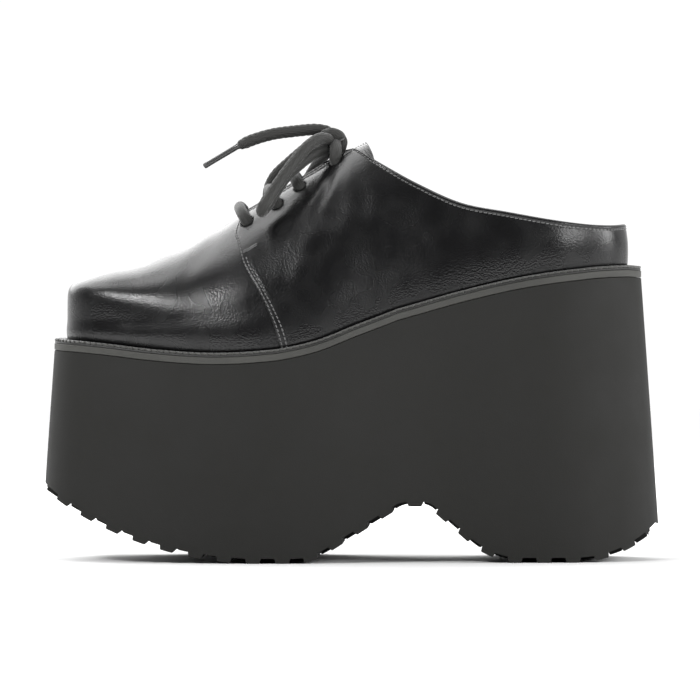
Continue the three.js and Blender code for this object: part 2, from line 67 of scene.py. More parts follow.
# Sections of the last: lateral and medial (along, across), ridge (along, high), crest, square, bulge
LAST = np.array([
    (0, 0.03, 0, 0.03, 0.064, 0.384, 0.82, 13, 0.4),
    (0.005, -0.147, 0.005, 0.21, 0.066, 0.386, 0.81, 13, 0.4),
    (0.028, -0.263, 0.028, 0.321, 0.076, 0.4, 0.8, 12, 0.45),
    (0.068, -0.332, 0.068, 0.372, 0.1, 0.43, 0.77, 10, 0.55),
    (0.131, -0.389, 0.131, 0.414, 0.147, 0.48, 0.72, 7, 0.8),
    (0.219, -0.453, 0.207, 0.462, 0.223, 0.594, 0.65, 4, 0.6),
    (0.339, -0.5, 0.303, 0.497, 0.327, 0.773, 0.7, 2.5, 0.6),
    (0.446, -0.474, 0.406, 0.468, 0.43, 0.921, 0.78, 2.25, 0.4),
    (0.558, -0.405, 0.518, 0.384, 0.534, 1, 0.84, 2.2, 0.3),
    (0.669, -0.353, 0.637, 0.326, 0.637, 0.96, 0.86, 2.2, 0.3),
    (0.781, -0.337, 0.757, 0.316, 0.741, 0.9, 0.88, 2.3, 0.5),
    (0.884, -0.31, 0.876, 0.31, 0.821, 0.84, 0.9, 2.3, 0.5),
    (0.956, -0.216, 0.956, 0.226, 0.853, 0.81, 0.9, 2.3, 0.5),
    (0.991, -0.095, 0.991, 0.11, 0.865, 0.81, 0.9, 2.3, 0.5),
    (1, 0.01, 1, 0.01, 0.869, 0.81, 0.9, 2.3, 0.5),
])
OUTLINE_COLUMNS = {LATERAL: (0, 1), MEDIAL: (2, 3)}
RIDGE_ALONG, RIDGE_HIGH, CREST, SQUARE, BULGE = 4, 5, 6, 7, 8
LAST_ROW = len(LAST) - 1

# Top of the platform (along, rise), collar edge and quarter's seam (along, high)
PLATFORM_TOP = np.array([
    (0, 0.15), (0.075, 0.115), (0.178, 0.038), (0.281, 0), (0.383, 0.042), (0.452, 0.146), (0.52, 0.329),
    (0.589, 0.512), (0.691, 0.71), (0.794, 0.875), (0.897, 0.976), (0.97, 1.012), (1, 1),
])
TOPLINE = np.array([
    (0.495, 0.985), (0.515, 0.966), (0.552, 0.857), (0.62, 0.672), (0.7, 0.496), (0.785, 0.384), (0.86, 0.304),
    (0.925, 0.255), (0.97, 0.238), (1, 0.243),
])
SEAM = np.array([
    (0.388, -0.02), (0.376, 0.13), (0.359, 0.265), (0.341, 0.375), (0.318, 0.5), (0.307, 0.61), (0.301, 0.66),
    (0.304, 0.7), (0.31, 0.745),
])
TREAD_ROCKER, TREAD_ARCH, TREAD_HEEL_EDGE = 0.35, 0.601, 0.905
EYELETS = [(0.315, 0.71), (0.367, 0.7), (0.41, 0.73), (0.476, 0.76)]

# Routes of the free laces, as in the part's source
KNOT = np.array([-7.5, 0.5, 186.2])
NEAR_LOOP = [
    (-8, -2, 186.7), (-12.9, -8, 188.2), (-18.3, -14.5, 185), (-23.8, -20.5, 178.7), (-29.7, -27, 170.6),
    (-34.7, -32, 163), (-38, -35, 157.5), (-38.6, -30.5, 155.5), (-36.2, -27, 158.7), (-33, -25, 164),
    (-28.5, -21, 170.7), (-22.5, -15.8, 176.5), (-16.5, -9.5, 181), (-10.5, -4, 183.2),
]
FAR_LOOP = [
    (-8, 3, 186.7), (-13.5, 8, 187.2), (-20.5, 13, 183.7), (-27.5, 16.5, 178), (-33.8, 20, 172.2),
    (-37, 24, 166.7), (-38, 29, 160.2), (-37.5, 34, 154.7), (-34.5, 37, 152.2), (-30.8, 36.5, 155.7),
    (-26, 33, 161.7), (-20.5, 28, 169.2), (-15.5, 20, 176.7), (-10.5, 9, 182.7),
]
FREE_END = [
    (-7.5, 2, 188.2), (-10.5, 3, 191.2), (-16, 2, 192.2), (-23.8, -0.5, 191.6), (-34.2, -4, 190.2),
    (-42.8, -6, 187.8), (-50, -7.5, 184.8),
]
AGLET_TIP = (-65, -9.5, 175.8)


# Curves and tables

def spline(padded, at):
    """Smooth value at fractional rows; padded has one extra row at each end."""
    rows = len(padded) - 2
    at = np.asarray(at, float)
    k = np.clip(np.floor(at).astype(int), 0, rows - 2)
    f = at - k
    a, b, c, d = (padded[k + n] for n in range(4))
    if a.ndim > f.ndim:
        f = f[..., None]
    return b + 0.5 * f * (c - a + f * (2 * a - 5 * b + 4 * c - d + f * (3 * (b - c) + d - a)))


def last_value(column, at):
    values = LAST[:, column]
    return spline(np.concatenate([[values[1]], values, [values[-2]]]), at)


def plan_point(side, at):
    own, other = (LAST[:, list(OUTLINE_COLUMNS[s])] for s in (side, 1 - side))
    point = spline(np.concatenate([[other[1]], own, [other[-2]]]), at)
    return np.stack([along_x(point[..., 0]), point[..., 1] * BALL_WIDTH], -1)


def table_value(table, along):
    along = np.clip(np.asarray(along, float), table[0, 0], table[-1, 0])
    k = np.clip(np.searchsorted(table[:, 0], along, side="right") - 1, 0, len(table) - 2)
    f = (along - table[k, 0]) / (table[k + 1, 0] - table[k, 0])
    values = table[:, 1]
    return spline(np.concatenate([[values[0]], values, [values[-1]]]), k + f)


def along_x(along):
    return TOE_X + along * UPPER_LENGTH


def platform_top(x):
    along = (x - TOE_X + LEDGE) / (UPPER_LENGTH + 2 * LEDGE)
    return FOREFOOT_HEIGHT + (HEEL_HEIGHT - FOREFOOT_HEIGHT) * table_value(PLATFORM_TOP, along)


def midsole_top(x):
    return platform_top(x) + CLEAR + MIDSOLE


def feather(x):
    return midsole_top(x) + CLEAR


def line_through(points, count):
    """Smooth line through points, evenly spaced in row number, as the part's source draws it."""
    points = np.asarray(points, float)
    padded = np.concatenate([[points[0]], points, [points[-1]]])
    return spline(padded, np.linspace(0, len(points) - 1, count))


def arc_lengths(grid, axis=0):
    """Length of a polyline up to each of its points, or of each row or column of a grid."""
    step = np.linalg.norm(np.diff(grid, axis=axis), axis=-1)
    start = np.zeros_like(np.take(step, [0], axis=axis))
    return np.concatenate([start, np.cumsum(step, axis=axis)], axis=axis)


def row_value(at, run, field):
    """Columns of a field at places along a run."""
    return np.stack([np.interp(at, run, column) for column in field.T], -1)


def resample(points, pitch):
    """Points along a polyline at an even spacing near pitch."""
    points = np.asarray(points, float)
    run = arc_lengths(points)
    count = max(int(round(run[-1] / pitch)), 1)
    return row_value(np.linspace(0, run[-1], count + 1), run, points)


def full_turn(count):
    return np.linspace(0, 2 * math.pi, count, endpoint=False)


def normalized(v):
    return v / np.maximum(np.linalg.norm(v, axis=-1, keepdims=True), 1e-12)


# The last's skin

SWELL_TOP = 0.36
SQUARE_END, SQUARE_FADE = 5.5, 1.5
HEEL_TUCK_ROWS = 2
SEAM_STATIONS, INSTEP_STATIONS = (3.5, 9.5), (4.0, 10.0)
STATION_STEP = 0.02


def outline(side, at, outward):
    at = np.asarray(at, float)
    point = plan_point(side, np.clip(at, 0, LAST_ROW))

    def near(a):
        folded = np.where(a < 0, -a, np.where(a > LAST_ROW, 2 * LAST_ROW - a, a))
        over = (a < 0) | (a > LAST_ROW)
        return np.where(over[..., None], plan_point(1 - side, folded), plan_point(side, folded))

    tangent = normalized(near(at + STATION_STEP) - near(at - STATION_STEP))
    normal = HAND[side] * np.stack([tangent[..., 1], -tangent[..., 0]], -1)
    return point + normal * np.asarray(outward)[..., None]


def skin(side, at, rise, outward):
    """Point of the last grown outward: rise runs from 0 at the feather line to 1 at the ridge.

    The square toe's rises are even along the section, the others eased towards both ends.
    """
    at, rise, outward = np.broadcast_arrays(np.asarray(at, float), rise, outward)
    foot = outline(side, at, outward)
    ridge_x = along_x(last_value(RIDGE_ALONG, at))
    ridge_y = BALL_WIDTH * LAST[0, 1] * (1 - at / LAST_ROW)
    ridge_z = feather(ridge_x) + last_value(RIDGE_HIGH, at) * INSTEP_HEIGHT + outward
    power = 2 / last_value(SQUARE, at)
    crest = last_value(CREST, at)
    eased = rise * rise * (3 - 2 * rise)
    even = rise ** (1 / power) / (rise ** (1 / power) + (1 - rise) ** (1 / power))
    turn = math.pi / 2 * (eased + (even - eased) * np.clip((SQUARE_END - at) / SQUARE_FADE, 0, 1))
    flank = np.clip(np.cos(turn), 0, 1) ** power
    up = crest * np.sin(turn) ** power + (1 - crest) * (1 - flank * flank)
    swell = TOE_BULGE * last_value(BULGE, at) * np.sin(math.pi * np.minimum(1, up / SWELL_TOP)) ** 2
    bulged = outline(side, at, outward + swell)
    tuck = HEEL_TUCK * (np.clip(at - LAST_ROW + HEEL_TUCK_ROWS, 0, HEEL_TUCK_ROWS) / HEEL_TUCK_ROWS) ** 2
    x = ridge_x + (bulged[..., 0] - ridge_x) * flank - tuck
    y = ridge_y + (bulged[..., 1] - ridge_y) * flank
    base = feather(foot[..., 0])
    return np.stack([x, y, base + (ridge_z - base) * up], -1)


def side_line(table, count):
    """Side view of a table's line, smooth, as (x, z) points."""
    x = along_x(table[:, 0])
    return line_through(np.stack([x, feather(x) + table[:, 1] * INSTEP_HEIGHT], -1), count)


SEAM_LINE, TOP_LINE = side_line(SEAM, 200), side_line(TOPLINE, 300)


def seam_x(z):
    return np.interp(z, SEAM_LINE[:, 1], SEAM_LINE[:, 0])


def open_air(points):
    """Above 0 where the throat gap or the collar opening is."""
    x, y, z = np.moveaxis(points, -1, 0)
    radius = THROAT_FRONT_WIDTH / 2
    front = along_x(SEAM[-1, 0]) + radius - OVERLAY
    back = along_x(TOPLINE[0, 0]) + THROAT_BACK_WIDTH
    straight = radius + (THROAT_BACK_WIDTH - THROAT_FRONT_WIDTH) / 2 * (x - front) / (back - front)
    rounded = np.sqrt(np.maximum(radius ** 2 - (front - x) ** 2, 0))
    half = np.where((x < front - radius) | (x > back), -1, np.where(x < front, rounded, straight))
    throat = half - np.abs(y - KNOT[1])
    collar = np.where(x < TOP_LINE[0, 0], -1, z - np.interp(x, TOP_LINE[:, 0], TOP_LINE[:, 1]))
    return np.maximum(throat, collar)


def top_rise(side, at, outward):
    """How far up the section the leather goes before the throat or the collar opens."""
    rises = np.linspace(0, 1, 500)
    field = open_air(skin(side, at[:, None], rises[None], outward))
    opened = field > 0
    first = np.where(opened.any(1), opened.argmax(1), len(rises) - 1)
    row, before = np.arange(len(at)), np.maximum(first - 1, 0)
    low, high = field[row, before], field[row, first]
    share = np.clip(low / np.minimum(low - high, -1e-9), 0, 1)
    return np.where(opened.any(1), rises[before] + share * (rises[1] - rises[0]), 1.0)


def seam_station(side, rises, outward, ahead):
    """Station at which a rise line crosses the quarter's front seam, ahead of it by that length."""
    low, high = (np.full(len(rises), end) for end in SEAM_STATIONS)
    for _ in range(30):
        at = (low + high) / 2
        p = skin(side, at, rises, outward)
        before = p[:, 0] + ahead < seam_x(p[:, 2])
        low, high = np.where(before, at, low), np.where(before, high, at)
    return (low + high) / 2


# Meshes

def add_object(name, data):
    made = bpy.data.objects.new(name, data)
    bpy.context.scene.collection.objects.link(made)
    return made


def make_mesh(name, points, faces, smooth=True):
    """A new object from points in millimetres."""
    mesh = bpy.data.meshes.new(name)
    points = np.asarray(points, float).reshape(-1, 3) * MM
    mesh.from_pydata(points.tolist(), [], np.asarray(faces).tolist())
    mesh.validate()
    if smooth:
        mesh.polygons.foreach_set("use_smooth", [True] * len(mesh.polygons))
    return add_object(name, mesh)


def grid_faces(rows, columns, start=0, loop_rows=False, loop_columns=False, flip=False):
    r = np.arange(rows if loop_rows else rows - 1)
    c = np.arange(columns if loop_columns else columns - 1)
    a, b = np.meshgrid(r, c, indexing="ij")
    a2, b2 = (a + 1) % rows, (b + 1) % columns
    corners = [a * columns + b, a2 * columns + b, a2 * columns + b2, a * columns + b2]
    quads = np.stack(corners, -1).reshape(-1, 4)
    return (quads[:, ::-1] if flip else quads) + start


def merge_close(piece, distance=0.002):
    """Welds points that lie on each other and turns the faces outward."""
    bm = bmesh.new()
    bm.from_mesh(piece.data)
    bmesh.ops.remove_doubles(bm, verts=bm.verts, dist=distance * MM)
    bmesh.ops.dissolve_degenerate(bm, edges=bm.edges, dist=distance * MM / 4)
    bmesh.ops.recalc_face_normals(bm, faces=bm.faces)
    bm.to_mesh(piece.data)
    bm.free()
    return piece


def finish_piece(piece, material, slot, *nodes):
    piece.data.materials.clear()
    piece.data.materials.append(material)
    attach(piece, "root")
    if nodes:
        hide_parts(*nodes)
    return piece


# Camera: the photograph looks square at the lateral side, a little from above, through a long lens
CAMERA_DISTANCE, CAMERA_ELEVATION, CAMERA_TURN = 4.0, math.radians(0.9), math.radians(1.5)
FRAME_WIDTH = 0.3134
AIM = Vector((-0.0003, 0.0, 0.0935))


def make_camera():
    data = bpy.data.cameras.new("camera")
    data.sensor_width = 36
    data.lens = data.sensor_width * CAMERA_DISTANCE / FRAME_WIDTH
    data.clip_start, data.clip_end = 0.05, 20
    camera = add_object("camera", data)
    flat = math.cos(CAMERA_ELEVATION)
    back = Vector((flat * math.sin(CAMERA_TURN), -flat * math.cos(CAMERA_TURN), math.sin(CAMERA_ELEVATION)))
    camera.location = AIM + back * CAMERA_DISTANCE
    camera.rotation_euler = back.to_track_quat("Z", "Y").to_euler()
    bpy.context.scene.camera = camera


# Materials

def material(name, color, roughness, **sockets):
    made = bpy.data.materials.new(name)
    made.use_nodes = True
    shader = made.node_tree.nodes["Principled BSDF"]
    shader.inputs["Base Color"].default_value = (*color, 1)
    shader.inputs["Roughness"].default_value = roughness
    for socket, value in sockets.items():
        shader.inputs[socket.replace("_", " ")].default_value = value
    return made


def nodes_of(made):
    """Nodes, links, main shader and millimetre coordinates of a material."""
    nodes, links = made.node_tree.nodes, made.node_tree.links
    return nodes, links, nodes["Principled BSDF"], object_coordinates(nodes, links)


def add_node(nodes, kind, **values):
    node = nodes.new(kind)
    for key, value in values.items():
        if key in node.inputs:
            node.inputs[key].default_value = value
        else:
            setattr(node, key, value)
    return node


def object_coordinates(nodes, links):
    """Object coordinates in millimetres, so that textures keep their real scale."""
    coordinate = add_node(nodes, "ShaderNodeTexCoord")
    mapping = add_node(nodes, "ShaderNodeMapping", Scale=(1 / MM, 1 / MM, 1 / MM))
    links.new(coordinate.outputs["Object"], mapping.inputs["Vector"])
    return mapping.outputs["Vector"]


def noise(nodes, links, vector, size, detail=2.0, roughness=0.5):
    """Noise whose features are about size millimetres wide, from 0 to 1."""
    texture = add_node(nodes, "ShaderNodeTexNoise", Scale=1 / size, Detail=detail, Roughness=roughness)
    links.new(vector, texture.inputs["Vector"])
    return texture.outputs["Fac"]


def ramp(nodes, links, source, low, high, to_low, to_high):
    mapped = add_node(nodes, "ShaderNodeMapRange")
    for socket, value in zip(("From Min", "From Max", "To Min", "To Max"), (low, high, to_low, to_high)):
        mapped.inputs[socket].default_value = value
    links.new(source, mapped.inputs["Value"])
    return mapped.outputs["Result"]


def bump(nodes, links, height, depth, before=None):
    """Bump whose height runs over depth millimetres."""
    node = add_node(nodes, "ShaderNodeBump", Strength=1.0, Distance=depth * MM)
    links.new(height, node.inputs["Height"])
    if before is not None:
        links.new(before, node.inputs["Normal"])
    return node.outputs["Normal"]


PEBBLE, LEATHER_GRAIN, FINE_GRAIN = 0.85, 0.045, 0.45
UNEVENNESS, UNEVENNESS_DEPTH, LEATHER_ROUGHNESS = 14, 0.025, 0.28


def leather_material(name, color, rough):
    """Smooth black leather: fine pebbled grain, soft unevenness and a polish that varies over rough."""
    made = material(name, color, LEATHER_ROUGHNESS)
    nodes, links, shader, vector = nodes_of(made)
    pebbles = add_node(nodes, "ShaderNodeTexVoronoi", Scale=1 / PEBBLE)
    links.new(vector, pebbles.inputs["Vector"])
    unevenness = noise(nodes, links, vector, UNEVENNESS, 1.0)
    fine = noise(nodes, links, vector, FINE_GRAIN, 2.0)
    links.new(ramp(nodes, links, unevenness, 0.3, 0.7, *rough), shader.inputs["Roughness"])
    domes = ramp(nodes, links, pebbles.outputs["Distance"], 0.1, 0.75, 1, 0)
    first = bump(nodes, links, unevenness, UNEVENNESS_DEPTH)
    second = bump(nodes, links, domes, LEATHER_GRAIN, first)
    links.new(bump(nodes, links, fine, LEATHER_GRAIN * 0.4, second), shader.inputs["Normal"])
    return made


CLOUD, SPECK = 26, 0.6


def foam_material(name, color, rough, grain):
    """Moulded foam: matte, with a fine skin and faint clouds of tint and polish."""
    made = material(name, color, rough, Specular_IOR_Level=0.4)
    nodes, links, shader, vector = nodes_of(made)
    clouds = noise(nodes, links, vector, CLOUD, 4.0, 0.6)
    specks = noise(nodes, links, vector, SPECK, 3.0, 0.7)
    tint = add_node(nodes, "ShaderNodeMix", data_type="RGBA")
    for socket, share in ((6, 0.85), (7, 1.15)):
        tint.inputs[socket].default_value = (*[c * share for c in color], 1)
    links.new(ramp(nodes, links, clouds, 0.35, 0.65, 0, 1), tint.inputs[0])
    links.new(tint.outputs[2], shader.inputs["Base Color"])
    links.new(ramp(nodes, links, clouds, 0.3, 0.7, rough - 0.05, rough + 0.05), shader.inputs["Roughness"])
    links.new(bump(nodes, links, specks, grain), shader.inputs["Normal"])
    return made


def thread_material(name, color, rough, fibre):
    """Spun thread or braid with a faint sheen; fibre is the width of its fibres."""
    made = material(name, color, rough, Sheen_Weight=0.3, Sheen_Roughness=0.45)
    nodes, links, shader, vector = nodes_of(made)
    fibres = noise(nodes, links, vector, fibre, 2.0)
    links.new(bump(nodes, links, fibres, fibre * 0.35), shader.inputs["Normal"])
    return made


# Surface work shared by the leather pieces

INSTEP_START, INSTEP_END = skin(LATERAL, 6, 1, 0), skin(LATERAL, 8, 1, 0)
INSTEP = normalized((INSTEP_END - INSTEP_START) * (1, 0, 1))


def across_instep(along, side, rise, outward):
    """Point of the skin in a plane square to the instep, as the lace runs over it."""
    far = (along_x(along) - INSTEP_START[0]) / (INSTEP_END[0] - INSTEP_START[0])
    middle = INSTEP_START + (INSTEP_END - INSTEP_START) * far
    low, high = INSTEP_STATIONS
    for _ in range(24):
        at = (low + high) / 2
        ahead = np.dot(skin(side, at, rise, outward) - middle, INSTEP) < 0
        low, high = (at, high) if ahead else (low, at)
    return skin(side, at, rise, outward)


STITCH_DIP, STITCH_DIP_WIDTH = 0.2, 0.45
FEATHER_TUCK, FEATHER_TUCK_WIDTH = 0.9, 1.6
FOLD_SAMPLES, WAVE_DEPTH = 12, 0.022

# Soft folds of the lateral side, mirrored on the medial one: depth, width and (x, z) points
FOLDS = [
    (0.3, 2.8, [(-8.5, 172), (-10, 166), (-12.5, 160), (-16, 153)]),
    (0.14, 2.6, [(-19, 166), (-22, 161), (-24.5, 155)]),
    (0.16, 3.2, [(-26, 153), (-28.5, 147), (-31, 141)]),
    (0.1, 3.4, [(-36, 147), (-38, 141), (-38.5, 135)]),
    (0.1, 4.5, [(-20, 146), (-23, 138), (-27, 129), (-29, 120)]),
    (0.16, 6.0, [(-4, 158), (-8, 148), (-14, 137), (-18, 125)]),
    (0.14, 5.0, [(3, 172), (6, 164), (6, 154), (3, 144)]),
    (0.1, 5.5, [(16, 160), (19, 150), (18, 140)]),
]
VAMP_FOLDS = [
    (0.1, 4.0, [(-58, 146), (-63, 139), (-70, 131), (-75, 122)]),
    (0.1, 5.0, [(-72, 140), (-79, 133), (-88, 126.5)]),
]


def fold_field(points, folds):
    """Heights of the folds: a trough between two low shoulders, fading at both ends."""
    plan = points[..., [0, 2]]
    total = np.zeros(plan.shape[:-1])
    for depth, width, line in folds:
        line = line_through(line, FOLD_SAMPLES)
        best, place = np.full(total.shape, 1e9), np.zeros(total.shape)
        for n, (a, b) in enumerate(zip(line[:-1], line[1:])):
            t = np.clip(((plan - a) @ (b - a)) / ((b - a) @ (b - a)), 0, 1)
            d = np.linalg.norm(plan - a - t[..., None] * (b - a), axis=-1)
            place = np.where(d < best, (n + t) / (len(line) - 1), place)
            best = np.minimum(d, best)
        fade = np.sqrt(np.clip(np.sin(math.pi * np.clip(place, 0.02, 0.98)), 0, 1))
        shoulder = 0.5 * np.exp(-((best - width * 1.25) / width * 1.9) ** 2)
        trough = -np.exp(-(best / width * 1.6) ** 2) + shoulder
        total += depth * fade * trough
    return total


def gentle(points, scale=1.0):
    """Slow unevenness of the leather, a few hundredths of a millimetre."""
    x, y, z = np.moveaxis(points, -1, 0)
    waves = np.sin(x / 7.3 + 1.1 * np.sin(z / 9.7)) * np.sin(z / 6.1 + y / 8.2 + 0.7)
    return scale * WAVE_DEPTH * (waves + 0.6 * np.sin(x / 3.9 - z / 5.3 + y / 6.7))


def rounding(distance, radius):
    """How far a rounded edge falls below the surface, by distance from the edge."""
    near = np.clip(1 - distance / radius, 0, 1)
    return -radius * (1 - np.sqrt(1 - near ** 2))


def hump(distance, height, place, width):
    """Soft ridge of that height along a place in a distance field, or a groove below 0."""
    return height * np.exp(-((distance - place) / width) ** 2)


def stitch_dip(distance, row):
    return hump(distance, -STITCH_DIP, row, STITCH_DIP_WIDTH)


def feather_tuck(distance):
    """How the leather turns in where it meets the welt."""
    return hump(distance, -FEATHER_TUCK, 0, FEATHER_TUCK_WIDTH)


def side_normals(grid, side):
    """Outward unit normals of one side's grid, by differences along its rows and columns."""
    return HAND[side] * normalized(np.cross(np.gradient(grid, axis=0), np.gradient(grid, axis=1)))


def sheet(name, outer, inner, folded=False):
    """Closed sheet between two grids of the same size; folded where the first row meets itself."""
    rows, columns = outer.shape[:2]
    count = rows * columns
    index = np.arange(count).reshape(rows, columns)
    faces = [grid_faces(rows, columns), grid_faces(rows, columns, count, flip=True)]
    border = np.concatenate([index[0, :-1], index[:-1, -1], index[-1, :0:-1], index[:0:-1, 0]])
    after = np.roll(border, -1)
    walls = np.stack([border, border + count, after + count, after], -1)
    faces.append(walls[(walls[:, [0, 3]] >= columns).any(1)] if folded else walls)
    points = np.concatenate([outer.reshape(-1, 3), inner.reshape(-1, 3)])
    return merge_close(make_mesh(name, points, np.concatenate(faces)))


# Vamp

VAMP_UNDERLAP, VAMP_WALL = 9, 0.55 * WALL
VAMP_GENTLE, TOE_CALM = 0.8, 1.5


def vamp_half(side, outward, rows=200, columns=84):
    rises = np.linspace(0, 1, columns)
    end = seam_station(side, rises, np.zeros(columns), -VAMP_UNDERLAP)
    at = np.linspace(0, 1, rows)[:, None] * end[None]
    grid = skin(side, at, rises[None], outward)
    if outward < 0:
        return grid
    foot = arc_lengths(grid, 1)
    lift = fold_field(grid, VAMP_FOLDS) + gentle(grid, VAMP_GENTLE) + feather_tuck(foot)
    return grid + side_normals(grid, side) * (lift * np.clip(at / TOE_CALM, 0, 1))[..., None]


def build_vamp(leather):
    grids = []
    for outward in (0.0, -VAMP_WALL):
        a, b = (vamp_half(side, outward) for side in SIDES)
        middle = (a[:, -1:] + b[:, -1:]) / 2
        grids.append(np.concatenate([a[:, :-1], middle, b[:, -2::-1]], axis=1))
    finish_piece(sheet("vamp", *grids, folded=True), leather, "leather", "upper")


# Quarters

FRONT_STEPS = (0, 0.05, 0.16, 0.34, 0.6, 0.95, 1.4, 1.9)
EDGE_STITCH, SECOND_STITCH, TACK_HEIGHT = 1.2, 3.3, 137
TOP_STITCH, TACK_LENGTH, TACK_RISE = 2.2, 8.0, 2.2
TACK_ROWS = (-0.75, 0, 0.75)
TOP_EDGE_ROUND, FRONT_EDGE_ROUND = 0.9, 0.7
FOLD_START, FOLD_FADE, HEEL_CALM = 5, 6, 1.2
TOP_BEAD = (0.22, 1.1, 0.7)
EYELET_DIP, EYELET_DIP_RADIUS, EYELET_RING = 1.3, 2.5, (0.12, 3.5, 0.9)

# Seams: pitch, stitch length, stitch width, slant and how deep the stitch is sunk
TOP_SEAM = (2.0, 1.55, 0.55, 0.12, -0.08)
FRONT_SEAM = (2.0, 1.5, 0.55, 0.1, -0.08)
TACK_SEAM = (1.4, 1.5, 0.5, 0.1, -0.05)
WELT_SEAM = (2.9, 3.5, 1.1, -0.3, -0.1)


def quarter_places(side, rows=222, columns=84, edge_columns=14, edge_share=0.05):
    """Stations and rises of one quarter's grid, from its front seam to the back of the heel."""
    close = 1 - edge_share * np.linspace(1, 0, edge_columns + 1)[1:] ** 1.6
    base = np.concatenate([np.linspace(0, 1 - edge_share, columns - edge_columns), close])
    front = seam_station(side, base, np.full(columns, OVERLAY), 0)
    share = np.linspace(0, 1, rows - len(FRONT_STEPS) + 1)[1:, None]
    at = np.concatenate([front[None], front[None] + share * (LAST_ROW - front[None])])
    for _ in range(4):
        top = top_rise(side, at[:, -1], OVERLAY)
        rise = base * top[0]
        edge = [seam_station(side, rise, np.full(columns, OVERLAY), -d) for d in FRONT_STEPS]
        at = np.concatenate([np.stack(edge), edge[-1] + share * (LAST_ROW - edge[-1])])
        at[0, -1] = at[1, -1] - 1e-4
    top = top_rise(side, at[:, -1], OVERLAY)
    return at, base[None] * top[:, None]


def quarter_half(side):
    """Outer skin of one quarter with its folds, edges and eyelets, and the distances from its edges."""
    at, rise = quarter_places(side)
    grid = skin(side, at, rise, OVERLAY)
    normals = side_normals(grid, side)
    down = arc_lengths(grid, 1)
    below_top = down[:, -1:] - down
    behind_front = arc_lengths(grid)
    lift = fold_field(grid, FOLDS) * np.clip((behind_front - FOLD_START) / FOLD_FADE, 0, 1) + gentle(grid)
    lift *= np.clip((LAST_ROW - at) / HEEL_CALM, 0, 1)
    lift += rounding(below_top, TOP_EDGE_ROUND) + hump(below_top, *TOP_BEAD)
    lift += rounding(behind_front, FRONT_EDGE_ROUND) + stitch_dip(behind_front, EDGE_STITCH)
    lift += stitch_dip(below_top, TOP_STITCH)
    lift += np.where(grid[..., 2] < TACK_HEIGHT, stitch_dip(behind_front, SECOND_STITCH), 0)
    lift += feather_tuck(down)
    for along, high in EYELETS:
        far = np.linalg.norm(grid - across_instep(along, side, high, OVERLAY), axis=-1)
        lift += hump(far, *EYELET_RING) - EYELET_DIP * np.exp(-(far / EYELET_DIP_RADIUS) ** 4)
    inner = skin(side, at, rise, -WALL)
    return grid + normals * lift[..., None], inner, normals, below_top, behind_front


def line_at(grid, normals, distance, wanted, axis):
    """Points and normals where a distance field first passes a value, one for each row or column."""
    if axis == 0:
        grid, normals, distance = (np.swapaxes(v, 0, 1) for v in (grid, normals, distance))
    points, ups = [], []
    for p, n, d in zip(grid, normals, distance):
        order = np.argsort(d)
        points.append(row_value(wanted, d[order], p[order]))
        ups.append(row_value(wanted, d[order], n[order]))
    return np.array(points), normalized(np.array(ups))


def capsule(length, width, around=8, cap=3):
    """Points and faces of a stitch along X, its middle at the origin."""
    rings = []
    for end in (-1, 1):
        for n in range(cap + 1):
            a = math.pi / 2 * (n / cap if end < 0 else 1 - n / cap)
            x = end * (length / 2 - width / 2 + width / 2 * math.cos(a))
            rings.append((x, max(width / 2 * math.sin(a), 1e-3)))
    turn = full_turn(around)
    points = [[(x, r * math.cos(t), r * math.sin(t)) for t in turn] for x, r in rings]
    return np.array(points).reshape(-1, 3), grid_faces(len(rings), around, loop_columns=True)


def stitches(name, look, slot, rows):
    """Stitches along rows of (points, normals, seam), as one piece."""
    points, faces, start = [], [], 0
    for line, ups, (pitch, length, width, slant, sunk) in rows:
        run = arc_lengths(line)
        shape, shape_faces = capsule(length, width)
        for centre in np.arange(pitch * 0.6, run[-1] - pitch * 0.4, pitch):
            place, ahead, back, up = (row_value(centre + d, run, field)
                                      for d, field in ((0, line), (0.6, line), (-0.6, line), (0, ups)))
            tangent = normalized(ahead - back)
            up = normalized(up - tangent * (up @ tangent))
            across = np.cross(up, tangent)
            turned = tangent * math.cos(slant) + across * math.sin(slant)
            cross = np.cross(up, turned)
            local = shape @ np.stack([turned, cross, up])
            points.append(place - up * sunk + local)
            faces.append(shape_faces + start)
            start += len(shape)
    finish_piece(merge_close(make_mesh(name, np.concatenate(points), np.concatenate(faces))), look, slot)


def tack_bar(grid, normals, behind_front):
    """Points and normals of the nearly straight tack across the head of the second seam."""
    start = line_at(grid, normals, behind_front, EDGE_STITCH, 0)[0]
    place = np.abs(start[:, 2] - TACK_HEIGHT).argmin()
    bar, bar_up = [], []
    for share in np.linspace(0, 1, 8):
        span = line_at(grid, normals, behind_front, SECOND_STITCH - 1 + share * TACK_LENGTH, 0)
        for kept, found in zip((bar, bar_up), span):
            kept.append(row_value(place + share * TACK_RISE, np.arange(len(found)), found))
    bar, bar_up = np.array(bar), np.array(bar_up)
    share = np.linspace(0, 1, len(bar))[:, None]
    straight = bar[0] * (1 - share) + bar[-1] * share + bar_up * 0.15
    return (bar + straight) / 2, bar_up


